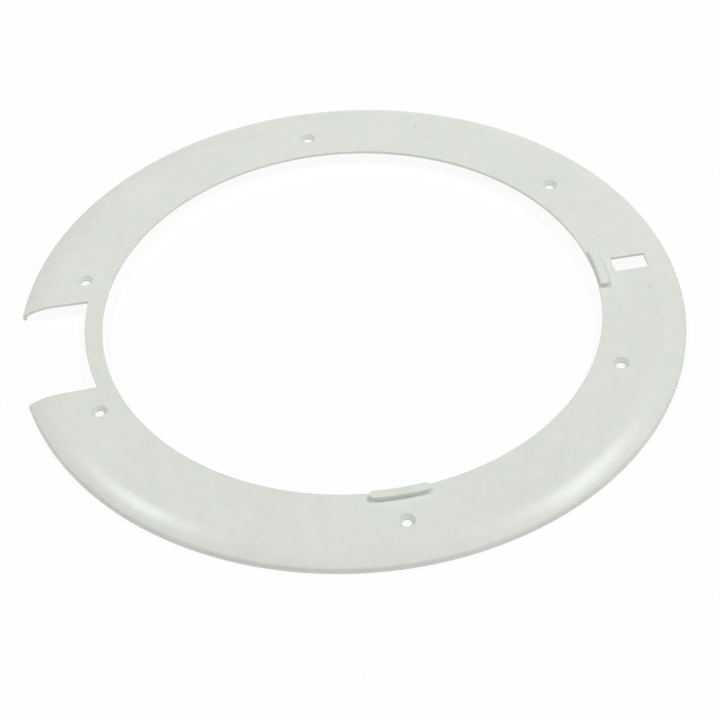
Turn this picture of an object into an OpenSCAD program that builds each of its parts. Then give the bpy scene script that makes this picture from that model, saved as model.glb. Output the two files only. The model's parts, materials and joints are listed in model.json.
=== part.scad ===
// Inner door frame of a washing machine: one moulded plastic ring.
// The flat face lies at z = 0 and the rim stands below it. The origin is in the middle of
// the opening, and the latch slot is at +X.

/* [Ring] */
// Diameter of the outer rim
rim_d = 390; // [385:1:420]
// Diameter of the round opening for the glass
opening_d = 292; // [280:1:296]
// Height from the flat face down to the lower edge of the rim
height = 8.5; // [7.5:0.1:14]
// Wall thickness of the moulding
wall = 2; // [1.6:0.1:2.4]
// Radius that softens the upper edge of the opening
opening_edge_radius = 0.5; // [0.2:0.1:1]
// How far the rim's middle lies from the opening's middle, away from the side rib
rim_shift = 2; // [0:0.5:4]

/* [Lip] */
// Width of the curved lip, from the flat face to the rim
lip_w = 19; // [15:0.5:21]
// Radius of the lip's curve, seen in section
lip_radius = 38; // [34:1:60]
// Inside radius of the edge where the lip turns down into the rim
edge_inner_radius = 0.5; // [0.3:0.1:1.5]

/* [Screw holes] */
// Diameter of the screw hole
hole_d = 5.2; // [4:0.1:6]
// Diameter of the countersink at the flat face
countersink_d = 9.4; // [8:0.1:11]
// Depth of the conical countersink
countersink_depth = 2.2; // [1.5:0.1:2.6]
// Depth of the straight hole under the countersink
hole_land = 0.8; // [0.4:0.1:2]
// Diameter of the round pad that thickens the wall under each screw
pad_d = 12.5; // [12:0.1:13]
// Distance from the opening's edge to the screw holes
hole_inset = 16; // [12:0.5:20]
// Angle of the two holes on each side of the latch, from the latch axis
latch_hole_angle = 30; // [20:1:45]
// Angle of the two holes on each side of the hinge, from the hinge axis
hinge_hole_angle = 20; // [18:1:30]
// How much further out the hole behind the side rib lies
rib_hole_offset = 7.5; // [6:0.5:8]

/* [Latch slot] */
// Length of the slot, along the latch axis
slot_l = 20.5; // [12:0.5:22]
// Width of the slot
slot_w = 12; // [8:0.5:16]
// Corner radius of the slot
slot_corner_radius = 0.8; // [0.4:0.1:2]
// Distance from the opening's edge to the slot
slot_inset = 12.3; // [10:0.1:14]

/* [Hinge notch] */
// Width of the notch where it starts
notch_w = 73; // [50:1:85]
// Angle by which each side of the notch opens outwards
notch_flare = 1.5; // [0:0.5:4]
// Width of the narrow bridge that closes the ring at the notch
bridge_w = 10; // [8:0.5:14]

/* [Ribs] */
// Length of each raised rib, along its middle
rib_l = 33; // [20:1:50]
// Width of each raised rib
rib_w = 5.4; // [4:0.1:6]
// Height of each raised rib above the flat face
rib_h = 3; // [1.5:0.1:5]
// Distance from the opening's edge to the rib
rib_inset = 0.8; // [0.6:0.1:1.2]

/* [Hidden] */
$fn = 96;
// Sides of the ring's own circles where they are drawn as facets
round_sides = 240;

// Small overlap that lets a cut run past the face that it leaves
past = 1;
plastic = [0.85, 0.865, 0.84];

opening_r = opening_d / 2;
rim_r = rim_d / 2;
flat_r = rim_r - lip_w;
edge_radius = wall + edge_inner_radius;

// The lip is an arc that leaves the flat face without a corner
lip_centre = [flat_r, -lip_radius];
// The edge is a smaller arc that touches the lip's arc and the outside of the rim
edge_centre_r = rim_r - edge_radius;
edge_rise = sqrt(pow(lip_radius - edge_radius, 2) - pow(edge_centre_r - flat_r, 2));
edge_centre = [edge_centre_r, edge_rise - lip_radius];
edge_direction = (edge_centre - lip_centre) / norm(edge_centre - lip_centre);

hole_r = opening_r + hole_inset;
// Each hole is an angle from the latch axis and a distance from the middle
holes = [
    [latch_hole_angle, hole_r],
    [-latch_hole_angle, hole_r],
    [90, hole_r],
    [-90, hole_r + rib_hole_offset],
    [180 - hinge_hole_angle, hole_r],
    [180 + hinge_hole_angle, hole_r],
];
hole_depth = countersink_depth + hole_land;

notch_r = opening_r + bridge_w;
slot_r = opening_r + slot_inset;

rib_inner_r = opening_r + rib_inset;
rib_middle_r = rib_inner_r + rib_w / 2;
// Angle between the middles of a rib's two round ends
rib_angle = (rib_l - rib_w) / rib_middle_r * 180 / PI;
rib_places = [0, -90];

// What lies under the moulding's outer surface, pushed in by inset, as a half section
module under_surface(inset, bottom) {
    sector_reach = 2 * lip_radius;
    translate([0, bottom]) square([flat_r, -inset - bottom]);
    intersection() {
        translate(lip_centre) circle(lip_radius - inset);
        polygon([
            lip_centre,
            lip_centre + sector_reach * [0, 1],
            lip_centre + sector_reach * edge_direction,
        ]);
        translate([flat_r - past, bottom]) square([rim_r, -bottom]);
    }
    polygon([
        [flat_r, bottom],
        [flat_r, edge_centre.y],
        edge_centre + (edge_radius - inset) * edge_direction / 2,
        edge_centre,
        [edge_centre_r, bottom],
    ]);
    translate(edge_centre) circle(edge_radius - inset);
    translate([flat_r, bottom]) square([rim_r - inset - flat_r, edge_centre.y - bottom]);
}

// Half section of the moulding: a thin skin with a flat face, a lip and a rim
module ring_section() {
    inner_r = opening_r - rim_shift - past;
    difference() {
        intersection() {
            under_surface(0, -height);
            translate([inner_r, -height]) square([rim_r, height]);
        }
        under_surface(wall, -height - past);
    }
}

// The round opening for the glass, with its softened upper edge
module door_opening() {
    rotate_extrude($fn = round_sides) {
        translate([0, -height - past]) square([opening_r, height + 2 * past]);
        difference() {
            translate([opening_r - past, -opening_edge_radius])
                square([past + opening_edge_radius, opening_edge_radius + past]);
            translate([opening_r + opening_edge_radius, -opening_edge_radius])
                circle(opening_edge_radius);
        }
    }
}

// One screw hole with its countersink, cut from above
module screw_hole() {
    translate([0, 0, -hole_depth - past]) cylinder(h = hole_depth + 2 * past, d = hole_d);
    translate([0, 0, -countersink_depth])
        cylinder(h = countersink_depth, d1 = hole_d, d2 = countersink_d);
    cylinder(h = past, d = countersink_d);
}

// Puts its child at every screw hole
module at_holes() {
    for (hole = holes)
        rotate(hole[0]) translate([hole[1], 0, 0]) children();
}

// Rectangle with round corners, from the Y axis outwards
module round_rectangle(length, width, radius) {
    translate([radius, -width / 2]) square([length - 2 * radius, width]);
    translate([0, radius - width / 2]) square([length, width - 2 * radius]);
    for (x = [radius, length - radius], y = [radius - width / 2, width / 2 - radius])
        translate([x, y]) circle(radius);
}

module latch_slot() {
    translate([slot_r, 0, -height])
        linear_extrude(height + past) round_rectangle(slot_l, slot_w, slot_corner_radius);
}

// The hinge's gap: two sides that open outwards, and an arc along the bridge
module hinge_notch() {
    reach = rim_r + past;
    start = notch_r * cos(asin(notch_w / 2 / notch_r));
    half_end = notch_w / 2 + (reach - start) * tan(notch_flare);
    half_start = notch_w / 2 - past * tan(notch_flare);
    difference() {
        translate([0, 0, -height - past]) linear_extrude(height + 2 * past)
            polygon([
                [-start + past, -half_start],
                [-start + past, half_start],
                [-reach, half_end],
                [-reach, -half_end],
            ]);
        translate([0, 0, -height - 2 * past]) cylinder(h = height + 4 * past, r = notch_r);
    }
}

// Raised rib with round ends, centred on the X axis
module rib() {
    rotate(-rib_angle / 2) rotate_extrude(angle = rib_angle)
        translate([rib_inner_r, -wall / 2]) square([rib_w, rib_h + wall / 2]);
    for (side = [-1, 1])
        rotate(side * rib_angle / 2) translate([rib_middle_r, 0, -wall / 2])
            cylinder(h = rib_h + wall / 2, d = rib_w);
}

// All that goes round the rim's middle: the skin, its pads, screw holes, slot and notch
module rim_and_flange() {
    difference() {
        union() {
            rotate_extrude($fn = round_sides) ring_section();
            at_holes() translate([0, 0, -hole_depth])
                cylinder(h = hole_depth - wall / 2, d = pad_d);
        }
        at_holes() screw_hole();
        latch_slot();
        hinge_notch();
    }
}

module door_frame_ring() {
    color(plastic) {
        difference() {
            translate([0, rim_shift, 0]) rim_and_flange();
            door_opening();
        }
        for (place = rib_places)
            rotate(place) rib();
    }
}

door_frame_ring();
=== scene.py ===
"""The inner door frame of a washing machine: one moulded ring of pale satin plastic, lying face up.

The ring is a closed skin worked out on a polar grid round the rim's middle. Two sheets, the outer face
and the underside, are joined by softened walls along the opening, the notch, the slot, the screw holes
and the foot of the rim.
"""
import json
import math

import bmesh
import bpy
import numpy as np
from mathutils import Matrix, Vector


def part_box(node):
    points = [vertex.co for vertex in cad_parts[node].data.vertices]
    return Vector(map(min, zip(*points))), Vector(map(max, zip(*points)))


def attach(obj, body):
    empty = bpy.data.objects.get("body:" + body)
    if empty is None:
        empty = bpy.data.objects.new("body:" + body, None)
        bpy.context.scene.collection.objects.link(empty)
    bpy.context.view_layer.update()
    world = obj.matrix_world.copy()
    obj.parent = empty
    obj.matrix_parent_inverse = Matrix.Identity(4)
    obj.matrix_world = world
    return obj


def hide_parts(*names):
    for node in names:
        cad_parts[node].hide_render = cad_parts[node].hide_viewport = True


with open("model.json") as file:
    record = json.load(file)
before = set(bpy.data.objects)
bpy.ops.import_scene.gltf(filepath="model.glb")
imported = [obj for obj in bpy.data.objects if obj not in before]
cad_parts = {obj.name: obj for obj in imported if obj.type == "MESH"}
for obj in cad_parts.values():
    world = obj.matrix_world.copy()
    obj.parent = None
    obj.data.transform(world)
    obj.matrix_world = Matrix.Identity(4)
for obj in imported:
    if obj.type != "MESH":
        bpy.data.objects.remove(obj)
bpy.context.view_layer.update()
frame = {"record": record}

MM = 0.001
NODE = "door_frame_ring"
LOW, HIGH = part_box(NODE)
MOUNTS = {mount["name"]: mount for mount in frame["record"]["mounts"]}

# Sizes that the frame gives
RIM_R = HIGH.x
RIM_Y = (LOW.y + HIGH.y) / 2
FOOT_Z = LOW.z
RIB_TOP_Z = HIGH.z
OPENING_R = MOUNTS["door_opening"]["dims"]["r_mm"] * MM
HOLE_R = MOUNTS["middle_screws"]["dims"]["hole_r_mm"] * MM
NOTCH_R = -MOUNTS["hinge_notch"]["pos_m"][0]
SLOT_MIDDLE = np.array(MOUNTS["latch_slot"]["pos_m"][:2])

# Section of the moulding
WALL = 2 * MM
LIP_WIDTH = 19 * MM
FLAT_R = RIM_R - LIP_WIDTH
LIP_RADIUS = 38 * MM
EDGE_RADIUS = 2.5 * MM
EDGE_R = RIM_R - EDGE_RADIUS
EDGE_Z = math.sqrt((LIP_RADIUS - EDGE_RADIUS) ** 2 - (EDGE_R - FLAT_R) ** 2) - LIP_RADIUS
LIP_TURN = math.atan2(EDGE_R - FLAT_R, EDGE_Z + LIP_RADIUS)

# Softened corners
SOFT = 0.4 * MM
RIB_FOOT_SOFT = 0.25 * MM
COUNTERSINK_SOFT = 0.2 * MM
SOFT_STEPS = np.array([1, 2, 3]) / 3

# Screw holes, from the face down
COUNTERSINK_R = 4.7 * MM
COUNTERSINK_DEPTH = 2.2 * MM
PAD_R = 6.25 * MM
PAD_DEPTH = 3 * MM
HOLE_MARGIN = 9 * MM

# Latch slot
SLOT_HALF_LENGTH = 10.25 * MM
SLOT_HALF_WIDTH = 6 * MM
SLOT_CORNER = 0.8 * MM
SLOT_MARGIN = 4.5 * MM

# Hinge notch
NOTCH_HALF = 36.5 * MM
NOTCH_FLARE = math.radians(1.5)
NOTCH_START = math.sqrt(NOTCH_R ** 2 - NOTCH_HALF ** 2)

# Raised ribs, by the opening
RIB_HALF_WIDTH = 2.7 * MM
RIB_MIDDLE_R = OPENING_R + 0.8 * MM + RIB_HALF_WIDTH
RIB_LENGTH = 33 * MM
RIB_HALF_ANGLE = (RIB_LENGTH / 2 - RIB_HALF_WIDTH) / RIB_MIDDLE_R
RIB_PLACES = [0, -math.pi / 2]
RIB_MARGIN = 3 * MM
RIB_DRAFT = 0.05 * MM

# Grid: columns round the ring, and rows from the opening to the foot of the rim
RING_COLUMNS = 560
BRIDGE_COLUMNS = 44
COLUMN_COUNT = RING_COLUMNS + BRIDGE_COLUMNS
SLIDE_COLUMNS = 22
BRIDGE_ROWS = 5
FLAT_ROWS = 10
LIP_ROWS = 10
EDGE_ROWS = 6
RIM_ROWS = 2
ARC_ROW = BRIDGE_ROWS
ARC_ROW_R = NOTCH_R - SOFT
LAST_ROW = BRIDGE_ROWS + FLAT_ROWS + LIP_ROWS + EDGE_ROWS + RIM_ROWS
SAME_POINT = 0.002 * MM
# Steps in which a loop takes half of a corner
SLOT_BEND_STEPS = 2
RIB_BEND_STEPS = 4
# Shares of the way from a feature's loop to its block's border, one for each ring between them
HOLE_SHARES = [0.7, 0.42, 0.2, 0.06, 0]
SLOT_SHARES = [0.65, 0.35, 0.12, 0]
RIB_SHARES = [0.6, 0.25, 0]
# Shares of a rib's half width at which the rings that fill its top lie
RIB_TOP_SHARES = [0.5, 0]

# Camera: where the middle of the rim lies from the lens, and how the lens is turned
PHOTO_PIXELS = 720
FOCAL_PIXELS = 1829.0
SENSOR_MM = 36
CAMERA_ELEVATION = math.radians(44.54)
CAMERA_ROLL = math.radians(-3.27)
CAMERA_TURN = math.radians(7.845)
NEAREST_SEEN = 0.05
FARTHEST_SEEN = 50
RIM_FROM_CAMERA = Vector((-5.39, -32.87, 1072.45)) * MM

# Plastic: two near tones that flow into each other, and dull marks from handling
PLASTIC_LIGHT = (0.715, 0.745, 0.692, 1)
PLASTIC_DARK = (0.682, 0.712, 0.66, 1)
SPECK_TONE = (0.56, 0.585, 0.545, 1)
SHEEN_ROUGHNESS = 0.25
SCUFF_ROUGHNESS = 0.3
SHEEN_LEVEL = 0.21
# Scales are in waves for each metre, and depths in metres
FLOW_SCALE = 16.0
FLOW_DETAIL = 3.0
MOTTLE_SCALE = 130.0
SCUFF_SCALE = 34.0
SCUFF_DETAIL = 5.0
SCUFF_HARSHNESS = 0.65
GRAIN_SCALE = 1300.0
GRAIN_DEPTH = 0.018 * MM
SINK_SCALE = 26.0
SINK_DETAIL = 1.0
SINK_DEPTH = 0.12 * MM
# Noise levels between which the darker tone and the dull marks set in
TONE_LOW = 0.7
TONE_HIGH = 1.3
SCUFF_LOW = 0.52
SCUFF_HIGH = 0.72
# Two dark specks in the moulding, with their middles on the flat face and their radii
SPECKS = [((70.3 * MM, 160.7 * MM), 1.5 * MM), ((173.5 * MM, -22 * MM), 1.2 * MM)]
# Share of a speck's radius within which it has its full tone
SPECK_CORE = 0.3

# Floor and light
FLOOR_HALF = 5.0
FLOOR_GAP = 0.05 * MM
FLOOR_WHITENESS = 0.9
FLOOR_GLOW = 0.55
FLOOR_PAINT = (0.9, 0.9, 0.9, 1)
WHITE = (1, 1, 1, 1)
# The sky's strength in a direction is the level plus that direction's dot product with the tilt
SKY_LEVEL = 0.17
SKY_TILT = (0.06, -0.42, 0.31)
# Soft boxes: name, azimuth and elevation from the opening's middle in degrees, then distance, width
# and height in metres, and watts
SOFT_BOXES = [
    ("soft_box_left", 145.5, 58.5, 3.0, 0.92, 0.64, 28),
    ("soft_box_right", 13.5, 58.5, 3.0, 1.24, 0.72, 37.5),
]


def smooth_step(share):
    """3 s^2 - 2 s^3 of a share held between 0 and 1."""
    share = np.clip(share, 0, 1)
    return share * share * (3 - 2 * share)


def polar(angle, radius, height):
    """Points at that angle and radius round the rim's middle, at that height."""
    angle, radius, height = np.broadcast_arrays(angle, radius, height)
    return np.stack([radius * np.cos(angle), RIM_Y + radius * np.sin(angle), height], axis=-1)


def opening_radius(angle):
    """Distance from the rim's middle to the opening's circle, which is drawn about the origin."""
    return np.sqrt(OPENING_R ** 2 - (RIM_Y * np.cos(angle)) ** 2) - RIM_Y * np.sin(angle)


def notch_angle(radius, inside):
    """Half the angle that the notch takes at a radius, to a line that lies `inside` behind its side.
    The side leaves the notch's arc at NOTCH_HALF from the axis and opens by NOTCH_FLARE."""
    reach = NOTCH_HALF * math.cos(NOTCH_FLARE) - NOTCH_START * math.sin(NOTCH_FLARE) + inside
    return NOTCH_FLARE + np.arcsin(reach / radius)


SIDE_ANGLE = math.pi - float(notch_angle(ARC_ROW_R, SOFT))
COLUMNS = np.concatenate([
    np.linspace(-SIDE_ANGLE, SIDE_ANGLE, RING_COLUMNS + 1),
    np.linspace(SIDE_ANGLE, 2 * math.pi - SIDE_ANGLE, BRIDGE_COLUMNS + 1)[1:-1],
])
COLUMN_NUMBERS = np.arange(COLUMN_COUNT)
# How far each column follows the notch's sides: 1 and -1 at the two sides, 0 away from them
SLIDE = np.where(
    COLUMN_NUMBERS <= RING_COLUMNS,
    smooth_step(1 - COLUMN_NUMBERS / SLIDE_COLUMNS)
    - smooth_step(1 - (RING_COLUMNS - COLUMN_NUMBERS) / SLIDE_COLUMNS),
    0,
)


def section_rows(inset):
    """Radii and heights of a sheet `inset` under the skin, from the notch's arc out to the foot:
    even steps over the flat, an arc over the lip, a tighter arc at the edge, and down the rim."""
    flat = np.linspace(ARC_ROW_R, FLAT_R, FLAT_ROWS + 1)
    lip = np.linspace(0, LIP_TURN, LIP_ROWS + 1)[1:]
    edge = np.linspace(LIP_TURN, math.pi / 2, EDGE_ROWS + 1)[1:]
    rim = np.linspace(EDGE_Z, FOOT_Z + SOFT, RIM_ROWS + 1)[1:]
    radius = np.concatenate([
        flat,
        FLAT_R + (LIP_RADIUS - inset) * np.sin(lip),
        EDGE_R + (EDGE_RADIUS - inset) * np.sin(edge),
        np.full(RIM_ROWS, RIM_R - inset),
    ])
    height = np.concatenate([
        np.full(FLAT_ROWS + 1, -inset),
        (LIP_RADIUS - inset) * np.cos(lip) - LIP_RADIUS,
        EDGE_Z + (EDGE_RADIUS - inset) * np.cos(edge),
        rim,
    ])
    return radius, height


def sheet(inset):
    """One sheet as arrays of angle, radius and height, columns by rows. Inside the notch's arc the rows
    share out the width from the opening's edge to the arc. Outside it, the columns near the notch
    slide so that the first and last run along the notch's sides."""
    outer_radius, outer_height = section_rows(inset)
    edge = (opening_radius(COLUMNS) + SOFT)[:, None]
    share = np.arange(BRIDGE_ROWS) / BRIDGE_ROWS
    radius = np.hstack([edge + (ARC_ROW_R - edge) * share, np.tile(outer_radius, (COLUMN_COUNT, 1))])
    height = np.hstack([np.full(BRIDGE_ROWS, -inset), outer_height])
    turn = notch_angle(np.maximum(radius, ARC_ROW_R), SOFT) - notch_angle(ARC_ROW_R, SOFT)
    angle = COLUMNS[:, None] + SLIDE[:, None] * turn
    return angle, radius, np.tile(height, (COLUMN_COUNT, 1))


def sheet_height(plan, inset):
    """Height of a sheet over plan points on the flat or the lip: -inset on the flat, and on the lip an
    arc of LIP_RADIUS - inset about a centre LIP_RADIUS below the skin."""
    out = np.maximum(np.hypot(plan[..., 0], plan[..., 1] - RIM_Y) - FLAT_R, 0)
    return np.sqrt((LIP_RADIUS - inset) ** 2 - out ** 2) - LIP_RADIUS


def on_sheet(plan, inset):
    """Plan points lifted onto a sheet."""
    return np.concatenate([plan, sheet_height(plan, inset)[..., None]], axis=-1)


def soften(start, corner, end):
    """Rings of a quadratic Bezier curve from start to end that is pulled towards the corner."""
    return [(1 - t) ** 2 * start + 2 * t * (1 - t) * corner + t * t * end for t in SOFT_STEPS]


def softened_wall(top, top_corner, low_corner, low, size):
    """Rings of a wall from the outer sheet to the underside, with both of its corners softened."""
    down = low_corner - top_corner
    down = down / np.linalg.norm(down, axis=-1, keepdims=True) * size
    return [
        top,
        *soften(top, top_corner, top_corner + down),
        low_corner - down,
        *soften(low_corner - down, low_corner, low),
    ]


def closed_rings(rings):
    """Rings as one grid, with each ring's first point again at its end."""
    grid = np.stack(rings)
    return np.concatenate([grid, grid[:, :1]], axis=1)


def block_around(low_angle, high_angle, low_radius, high_radius, radius_grid):
    """The block of cells round a feature: its first and last column and its lowest and highest row."""
    ring = COLUMNS[:RING_COLUMNS + 1]
    first = int(np.argmin(abs(ring - low_angle)))
    last = int(np.argmin(abs(ring - high_angle)))
    rows = radius_grid[(first + last) // 2]
    return first, last, int(np.argmin(abs(rows - low_radius))), int(np.argmin(abs(rows - high_radius)))


def border(block):
    """Column and row numbers round a block, from its first column and lowest row and back again."""
    first, last, low, high = block
    across, up = np.arange(first, last), np.arange(low, high)
    columns = np.concatenate([
        across, np.full(len(up), last), across[::-1] + 1, np.full(len(up), first)])
    rows = np.concatenate([
        np.full(len(across), low), up, np.full(len(across), high), up[::-1] + 1])
    return columns, rows


def soft_loop(across, up, bend_across, bend_up):
    """Walks round a rounded rectangle in step with a block's border. It gives each point's share of the
    half length and half width, from -1 to 1, for the rectangle through the corners' centres, and the
    angle in which the outline lies from there, which turns by 90 degrees at each corner."""
    along, out, turn = [], [], []
    corners = [(-1, -1), (1, -1), (1, 1), (-1, 1)]
    for side in range(4):
        count, bend = (across, bend_across) if side % 2 == 0 else (up, bend_up)
        step = np.arange(count)
        share = np.clip((step - bend) / max(count - 2 * bend, 1), 0, 1)
        start, end = corners[side], corners[(side + 1) % 4]
        along.append(start[0] + (end[0] - start[0]) * share)
        out.append(start[1] + (end[1] - start[1]) * share)
        half_turns = np.clip((step - count + bend) / bend, 0, 1) - np.clip(1 - step / bend, 0, 1)
        turn.append((side - 1) * math.pi / 2 + half_turns * math.pi / 4)
    return np.concatenate(along), np.concatenate(out), np.concatenate(turn)


def transition(edge, loop, inset, shares):
    """Rings on a sheet between a block's border and a feature's loop, with the ends included."""
    plans = [loop + (edge[:, :2] - loop) * share for share in shares]
    return [edge, *(on_sheet(plan, inset) for plan in plans)]


class Ring:
    """Gathers the grids that make up the ring's skin."""

    def __init__(self):
        self.grids = []
        self.sheets = {}
        for name, inset in (("face", 0.0), ("underside", WALL)):
            angle, radius, height = sheet(inset)
            cells = np.ones((COLUMN_COUNT, LAST_ROW), bool)
            cells[RING_COLUMNS:, ARC_ROW:] = False
            self.sheets[name] = {
                "angle": angle, "radius": radius, "height": height, "cells": cells, "inset": inset,
                "points": polar(angle, radius, height),
            }

    def add(self, rings):
        """Adds closed rings as a grid of faces."""
        self.grids.append((closed_rings(rings), None))

    def cut_out(self, name, block):
        """Takes a block's cells out of a sheet and gives the points round it."""
        first, last, low, high = block
        self.sheets[name]["cells"][first:last, low:high] = False
        columns, rows = border(block)
        return self.sheets[name]["points"][columns, rows]

    def block(self, plan, margin):
        """The block of cells that leaves that margin round plan points."""
        away = plan - [0, RIM_Y]
        angle = np.arctan2(away[:, 1], away[:, 0])
        radius = np.hypot(away[:, 0], away[:, 1])
        spare = margin / radius.mean()
        return block_around(angle.min() - spare, angle.max() + spare,
                            radius.min() - margin, radius.max() + margin, self.sheets["face"]["radius"])

    def add_screw_hole(self, middle):
        """A countersink, a straight hole and the pad under them, as a profile turned about the hole's
        axis in the directions of the block's border."""
        block = self.block(middle[None, :], HOLE_MARGIN)
        top_edge = self.cut_out("face", block)
        low_edge = self.cut_out("underside", block)
        direction = top_edge[:, :2] - middle
        direction = direction / np.linalg.norm(direction, axis=1, keepdims=True)
        cone = np.array([HOLE_R - COUNTERSINK_R, -COUNTERSINK_DEPTH])
        cone_end = np.array([HOLE_R, -COUNTERSINK_DEPTH])
        cone_step = cone / np.linalg.norm(cone) * COUNTERSINK_SOFT
        mouth = np.array([COUNTERSINK_R, 0])
        outlet = np.array([HOLE_R, -PAD_DEPTH])
        pad_edge = np.array([PAD_R, -PAD_DEPTH])
        pad_foot = np.array([PAD_R, -WALL])
        out, up = np.array([COUNTERSINK_SOFT, 0]), np.array([0, COUNTERSINK_SOFT])
        profile = [
            mouth + out,
            *soften(mouth + out, mouth, mouth + cone_step),
            cone_end - cone_step,
            *soften(cone_end - cone_step, cone_end, cone_end - up),
            outlet + up,
            *soften(outlet + up, outlet, outlet + out),
            pad_edge - out,
            *soften(pad_edge - out, pad_edge, pad_edge + up),
            pad_foot - up,
            *soften(pad_foot - up, pad_foot, pad_foot + out),
        ]
        rings = [
            np.column_stack([middle + direction * radius, np.full(len(direction), height)])
            for radius, height in profile
        ]
        self.add(transition(top_edge, rings[0][:, :2], 0.0, HOLE_SHARES) + rings[1:])
        self.add(transition(low_edge, rings[-1][:, :2], WALL, HOLE_SHARES))

    def add_latch_slot(self):
        """The slot's outline is a rectangle with round corners. Its walls run straight down."""
        half = np.array([SLOT_HALF_LENGTH, SLOT_HALF_WIDTH])
        corners = SLOT_MIDDLE + half * [[-1, -1], [-1, 1], [1, -1], [1, 1]]
        first, last, _, high = self.block(corners, SLOT_MARGIN)
        block = (first, last, ARC_ROW, high)
        along, out, turn = soft_loop(last - first, high - ARC_ROW, SLOT_BEND_STEPS, SLOT_BEND_STEPS)
        base = SLOT_MIDDLE + np.column_stack([out, along]) * (half - SLOT_CORNER)
        direction = np.column_stack([np.sin(turn), np.cos(turn)])
        line = base + direction * SLOT_CORNER
        back = base + direction * (SLOT_CORNER + SOFT)
        self.add(transition(self.cut_out("face", block), back, 0.0, SLOT_SHARES))
        self.add(transition(self.cut_out("underside", block), back, WALL, SLOT_SHARES))
        self.add(softened_wall(on_sheet(back, 0.0), on_sheet(line, 0.0), on_sheet(line, WALL),
                               on_sheet(back, WALL), SOFT))

    def add_rib(self, place):
        """A raised rib. Its outline lies at one distance from an arc about the origin, and the top is
        filled by rings that close onto that arc."""
        ends = place + np.array([-1, 1]) * RIB_LENGTH / 2 / RIB_MIDDLE_R
        reach = RIB_MIDDLE_R * np.column_stack([np.cos(ends), np.sin(ends)])
        first, last, _, _ = self.block(reach, RIB_MARGIN)
        block = (first, last, 0, ARC_ROW)
        along, _, turn = soft_loop(last - first, ARC_ROW, RIB_BEND_STEPS, ARC_ROW / 2)
        angle = place + along * RIB_HALF_ANGLE
        outwards = np.column_stack([np.cos(angle), np.sin(angle)])
        sideways = np.column_stack([-np.sin(angle), np.cos(angle)])
        direction = np.cos(turn)[:, None] * sideways + np.sin(turn)[:, None] * outwards

        def ring_at(distance, height):
            plan = RIB_MIDDLE_R * outwards + direction * distance
            return np.column_stack([plan, np.full(len(plan), height)])

        foot = ring_at(RIB_HALF_WIDTH + RIB_FOOT_SOFT, 0)
        side_low = ring_at(RIB_HALF_WIDTH, RIB_FOOT_SOFT)
        side_high = ring_at(RIB_HALF_WIDTH - RIB_DRAFT, RIB_TOP_Z - SOFT)
        top_corner = ring_at(RIB_HALF_WIDTH - RIB_DRAFT, RIB_TOP_Z)
        top = ring_at(RIB_HALF_WIDTH - RIB_DRAFT - SOFT, RIB_TOP_Z)
        fill = [ring_at((RIB_HALF_WIDTH - RIB_DRAFT - SOFT) * share, RIB_TOP_Z) for share in RIB_TOP_SHARES]
        self.add(transition(self.cut_out("face", block), foot[:, :2], 0.0, RIB_SHARES))
        self.add([foot, *soften(foot, ring_at(RIB_HALF_WIDTH, 0), side_low), side_high,
                  *soften(side_high, top_corner, top), *fill])

    def add_opening(self):
        """The opening's wall, two sheets apart, with its corners softened."""
        edge = opening_radius(COLUMNS)
        self.add(softened_wall(
            self.sheets["face"]["points"][:, 0], polar(COLUMNS, edge, 0.0),
            polar(COLUMNS, edge, -WALL), self.sheets["underside"]["points"][:, 0], SOFT))

    def add_outer_edge(self):
        """The wall along the notch's arc, down one side of it, round the foot of the rim and back."""
        columns = np.concatenate([
            np.arange(RING_COLUMNS, COLUMN_COUNT), np.full(LAST_ROW - ARC_ROW, 0),
            np.arange(RING_COLUMNS), np.full(LAST_ROW - ARC_ROW, RING_COLUMNS)])
        rows = np.concatenate([
            np.full(BRIDGE_COLUMNS, ARC_ROW), np.arange(ARC_ROW, LAST_ROW),
            np.full(RING_COLUMNS, LAST_ROW), np.arange(LAST_ROW, ARC_ROW, -1)])
        corners = []
        for name in ("face", "underside"):
            part = self.sheets[name]
            radius = np.where(rows == ARC_ROW, NOTCH_R, part["radius"][columns, rows])
            height = np.where(rows == LAST_ROW, FOOT_Z, part["height"][columns, rows])
            side = math.pi - notch_angle(radius, 0.0)
            angle = np.where(columns == 0, -side,
                             np.where(columns == RING_COLUMNS, side, part["angle"][columns, rows]))
            corners.append(polar(angle, radius, height))
        self.add(softened_wall(self.sheets["face"]["points"][columns, rows], corners[0], corners[1],
                               self.sheets["underside"]["points"][columns, rows], SOFT))

    def mesh(self, name):
        """One closed mesh of all the grids, with the points that they share merged."""
        for part in self.sheets.values():
            grid = np.concatenate([part["points"], part["points"][:1]])
            self.grids.append((grid, part["cells"]))
        points, faces, start = [], [], 0
        for grid, cells in self.grids:
            number = start + np.arange(grid.shape[0] * grid.shape[1]).reshape(grid.shape[:2])
            quads = np.stack([number[:-1, :-1], number[1:, :-1], number[1:, 1:], number[:-1, 1:]], axis=-1)
            faces.append(quads[cells] if cells is not None else quads.reshape(-1, 4))
            points.append(grid.reshape(-1, 3))
            start += number.size
        used, faces = np.unique(np.concatenate(faces), return_inverse=True)
        mesh = bpy.data.meshes.new(name)
        mesh.from_pydata(np.concatenate(points)[used].tolist(), [], faces.reshape(-1, 4).tolist())
        work = bmesh.new()
        work.from_mesh(mesh)
        bmesh.ops.remove_doubles(work, verts=work.verts, dist=SAME_POINT)
        bmesh.ops.recalc_face_normals(work, faces=work.faces)
        work.to_mesh(mesh)
        work.free()
        mesh.shade_smooth()
        return mesh


def screw_middles():
    """The middles of all the screw holes, from the record's three pairs."""
    middles = []
    for name in ("latch_side_screws", "hinge_side_screws", "middle_screws"):
        x, y, _ = MOUNTS[name]["pos_m"]
        half = MOUNTS[name]["dims"]["spacing_y_mm"] * MM / 2
        middles += [np.array([x, y - half]), np.array([x, y + half])]
    return middles


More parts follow.
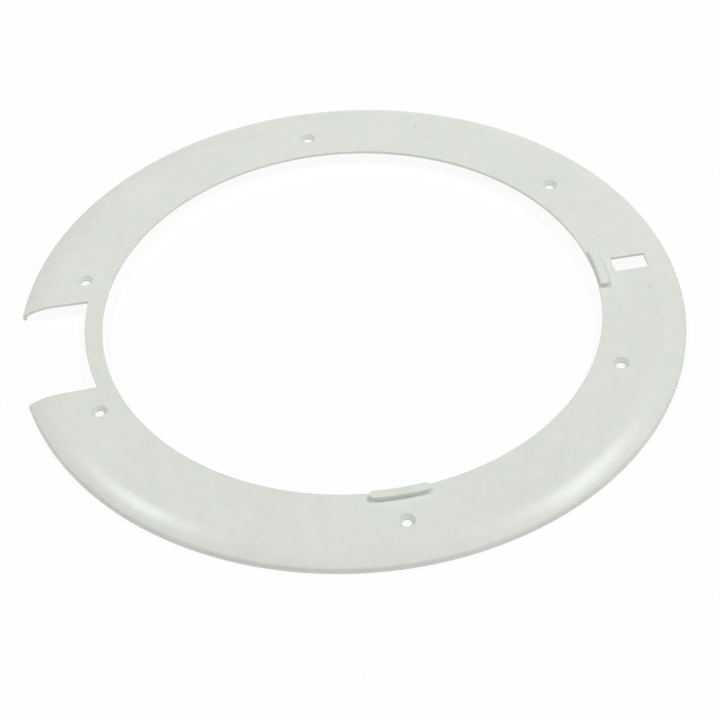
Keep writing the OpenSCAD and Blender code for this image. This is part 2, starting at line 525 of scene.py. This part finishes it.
def add_ring():
    """The door frame's ring, which stands for the CAD node."""
    ring = Ring()
    for middle in screw_middles():
        ring.add_screw_hole(middle)
    ring.add_latch_slot()
    for place in RIB_PLACES:
        ring.add_rib(place)
    ring.add_opening()
    ring.add_outer_edge()
    piece = bpy.data.objects.new("moulded_ring", ring.mesh("moulded_ring"))
    bpy.context.scene.collection.objects.link(piece)
    flats = piece.modifiers.new("flats_stay_flat", "WEIGHTED_NORMAL")
    flats.keep_sharp = False
    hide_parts(NODE)
    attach(piece, "root")
    return piece


def add_node(tree, kind, inputs=None, **settings):
    """A shader node with its settings, and its inputs set or linked by name or number."""
    made = tree.nodes.new(kind)
    for name, value in settings.items():
        setattr(made, name, value)
    for name, value in (inputs or {}).items():
        if isinstance(value, bpy.types.NodeSocket):
            tree.links.new(value, made.inputs[name])
        else:
            made.inputs[name].default_value = value
    return made


def wave(tree, place, scale, detail=2.0, roughness=0.5):
    """Soft noise between 0 and 1 at that many waves for each metre."""
    return add_node(tree, "ShaderNodeTexNoise", {
        "Vector": place, "Scale": scale, "Detail": detail, "Roughness": roughness}).outputs["Fac"]


def step_between(tree, value, low, high):
    """0 at low and 1 at high, with a smooth change between them. Low may be the larger of the two."""
    return add_node(tree, "ShaderNodeMapRange", {
        "Value": value, "From Min": low, "From Max": high}, interpolation_type="SMOOTHSTEP").outputs[0]


def mix_colours(tree, share, first, second):
    """From the first colour to the second as the share rises."""
    return add_node(tree, "ShaderNodeMix", {0: share, 6: first, 7: second}, data_type="RGBA").outputs[2]


def speck(tree, place, middle, radius):
    """1 over a speck's core, fading to 0 at its radius."""
    away = add_node(tree, "ShaderNodeVectorMath", {
        0: place, 1: (*middle, 0.0)}, operation="DISTANCE").outputs["Value"]
    return step_between(tree, away, radius, SPECK_CORE * radius)


def plastic_tone(tree, place):
    """The plastic's colour: a broad flow of the resin, a finer mottle and the two specks."""
    flow = wave(tree, place, FLOW_SCALE, detail=FLOW_DETAIL)
    mottle = wave(tree, place, MOTTLE_SCALE)
    both = add_node(tree, "ShaderNodeMath", {0: flow, 1: mottle}, operation="ADD").outputs[0]
    tone = mix_colours(tree, step_between(tree, both, TONE_LOW, TONE_HIGH), PLASTIC_LIGHT, PLASTIC_DARK)
    for middle, radius in SPECKS:
        tone = mix_colours(tree, speck(tree, place, middle, radius), tone, SPECK_TONE)
    return tone


def plastic_roughness(tree, place):
    """An even sheen, a little duller where hands and cloths have rubbed it."""
    marks = wave(tree, place, SCUFF_SCALE, detail=SCUFF_DETAIL, roughness=SCUFF_HARSHNESS)
    rubbed = step_between(tree, marks, SCUFF_LOW, SCUFF_HIGH)
    return add_node(tree, "ShaderNodeMapRange", {
        "Value": rubbed, "To Min": SHEEN_ROUGHNESS, "To Max": SCUFF_ROUGHNESS}).outputs[0]


def plastic_relief(tree, place):
    """The spark-eroded grain of the mould on top of the slight waviness of cooled plastic."""
    sink = add_node(tree, "ShaderNodeBump", {
        "Height": wave(tree, place, SINK_SCALE, detail=SINK_DETAIL), "Distance": SINK_DEPTH})
    grain = add_node(tree, "ShaderNodeBump", {
        "Height": wave(tree, place, GRAIN_SCALE), "Distance": GRAIN_DEPTH, "Normal": sink.outputs[0]})
    return grain.outputs[0]


def satin_plastic():
    """Pale grey-white satin plastic with a fine even grain."""
    material = bpy.data.materials.new("frame_plastic")
    material.use_nodes = True
    tree = material.node_tree
    shader = tree.nodes["Principled BSDF"]
    place = add_node(tree, "ShaderNodeTexCoord").outputs["Object"]
    tree.links.new(plastic_tone(tree, place), shader.inputs["Base Color"])
    tree.links.new(plastic_roughness(tree, place), shader.inputs["Roughness"])
    tree.links.new(plastic_relief(tree, place), shader.inputs["Normal"])
    shader.inputs["Specular IOR Level"].default_value = SHEEN_LEVEL
    return material


def add_camera():
    """The camera, set so that the middle of the rim lies at RIM_FROM_CAMERA from it (right, down and
    forward), as worked out from the photo's ellipses and holes."""
    forward = Vector((0, math.cos(CAMERA_ELEVATION), -math.sin(CAMERA_ELEVATION)))
    level_right = Vector((1, 0, 0))
    level_down = forward.cross(level_right)
    cosine, sine = math.cos(CAMERA_ROLL), math.sin(CAMERA_ROLL)
    right = cosine * level_right - sine * level_down
    down = sine * level_right + cosine * level_down
    away = right * RIM_FROM_CAMERA.x + down * RIM_FROM_CAMERA.y + forward * RIM_FROM_CAMERA.z
    turned = Matrix((right, -down, -forward)).transposed().to_4x4()
    turned.translation = -away
    camera = bpy.data.objects.new("photo_camera", bpy.data.cameras.new("photo_camera"))
    bpy.context.scene.collection.objects.link(camera)
    camera.matrix_world = (Matrix.Translation((0, RIM_Y, 0))
                           @ Matrix.Rotation(-CAMERA_TURN, 4, "Z") @ turned)
    camera.data.sensor_width = SENSOR_MM
    camera.data.lens = FOCAL_PIXELS / PHOTO_PIXELS * SENSOR_MM
    camera.data.clip_start = NEAREST_SEEN
    camera.data.clip_end = FARTHEST_SEEN
    bpy.context.scene.camera = camera


def add_floor():
    """A plain white floor just under the foot of the rim."""
    mesh = bpy.data.meshes.new("floor")
    z = FOOT_Z - FLOOR_GAP
    corners = [(-FLOOR_HALF, -FLOOR_HALF, z), (FLOOR_HALF, -FLOOR_HALF, z),
               (FLOOR_HALF, FLOOR_HALF, z), (-FLOOR_HALF, FLOOR_HALF, z)]
    mesh.from_pydata(corners, [], [(0, 1, 2, 3)])
    floor = bpy.data.objects.new("floor", mesh)
    bpy.context.scene.collection.objects.link(floor)
    mesh.materials.append(floor_white())


def seen_directly(tree):
    """1 for what the camera sees, also in a reflection or through glass."""
    path = add_node(tree, "ShaderNodeLightPath")
    either = add_node(tree, "ShaderNodeMath", {
        0: path.outputs["Is Camera Ray"], 1: path.outputs["Is Glossy Ray"]}, operation="MAXIMUM")
    return add_node(tree, "ShaderNodeMath", {
        0: either.outputs[0], 1: path.outputs["Is Transmission Ray"]}, operation="MAXIMUM").outputs[0]


def floor_white():
    """White paper that glows a little, as bright paper does. It is nearly white to the camera, but it
    still takes the ring's shadow."""
    material = bpy.data.materials.new("floor_white")
    material.use_nodes = True
    tree = material.node_tree
    tree.nodes.clear()
    share = add_node(tree, "ShaderNodeMapRange", {
        "Value": seen_directly(tree), "To Min": FLOOR_GLOW, "To Max": FLOOR_WHITENESS})
    paint = add_node(tree, "ShaderNodeBsdfDiffuse", {"Color": FLOOR_PAINT})
    white = add_node(tree, "ShaderNodeEmission", {"Color": WHITE, "Strength": 1.0})
    both = add_node(tree, "ShaderNodeMixShader", {
        0: share.outputs[0], 1: paint.outputs[0], 2: white.outputs[0]})
    add_node(tree, "ShaderNodeOutputMaterial", {"Surface": both.outputs[0]})
    return material


def add_sky():
    """A pale sky that is brighter over the camera's side. What is seen directly is plain white."""
    world = bpy.data.worlds.new("studio")
    bpy.context.scene.world = world
    world.use_nodes = True
    tree = world.node_tree
    tree.nodes.clear()
    direction = add_node(tree, "ShaderNodeTexCoord").outputs["Generated"]
    tilt = add_node(tree, "ShaderNodeVectorMath", {
        0: direction, 1: SKY_TILT}, operation="DOT_PRODUCT").outputs["Value"]
    level = add_node(tree, "ShaderNodeMath", {0: tilt, 1: SKY_LEVEL}, operation="ADD").outputs[0]
    above_black = add_node(tree, "ShaderNodeMath", {0: level, 1: 0.0}, operation="MAXIMUM").outputs[0]
    sky = add_node(tree, "ShaderNodeBackground", {"Color": WHITE, "Strength": above_black})
    backdrop = add_node(tree, "ShaderNodeBackground", {"Color": WHITE, "Strength": 1.0})
    both = add_node(tree, "ShaderNodeMixShader", {
        0: seen_directly(tree), 1: sky.outputs[0], 2: backdrop.outputs[0]})
    add_node(tree, "ShaderNodeOutputWorld", {"Surface": both.outputs[0]})


def add_soft_boxes():
    """Two soft boxes above the ring, at its left and right, which draw the two streaks on its lip."""
    for name, azimuth, elevation, distance, width, height, power in SOFT_BOXES:
        lamp = bpy.data.lights.new(name, "AREA")
        lamp.shape = "ELLIPSE"
        lamp.size = width
        lamp.size_y = height
        lamp.energy = power
        box = bpy.data.objects.new(name, lamp)
        bpy.context.scene.collection.objects.link(box)
        turn, rise = math.radians(azimuth), math.radians(elevation)
        away = Vector((math.cos(turn) * math.cos(rise), math.sin(turn) * math.cos(rise), math.sin(rise)))
        box.location = away * distance
        box.rotation_euler = away.to_track_quat("Z", "Y").to_euler()


add_camera()
ring = add_ring()
ring.data.materials.append(satin_plastic())
add_floor()
add_sky()
add_soft_boxes()
bpy.context.scene.view_settings.view_transform = "Standard"
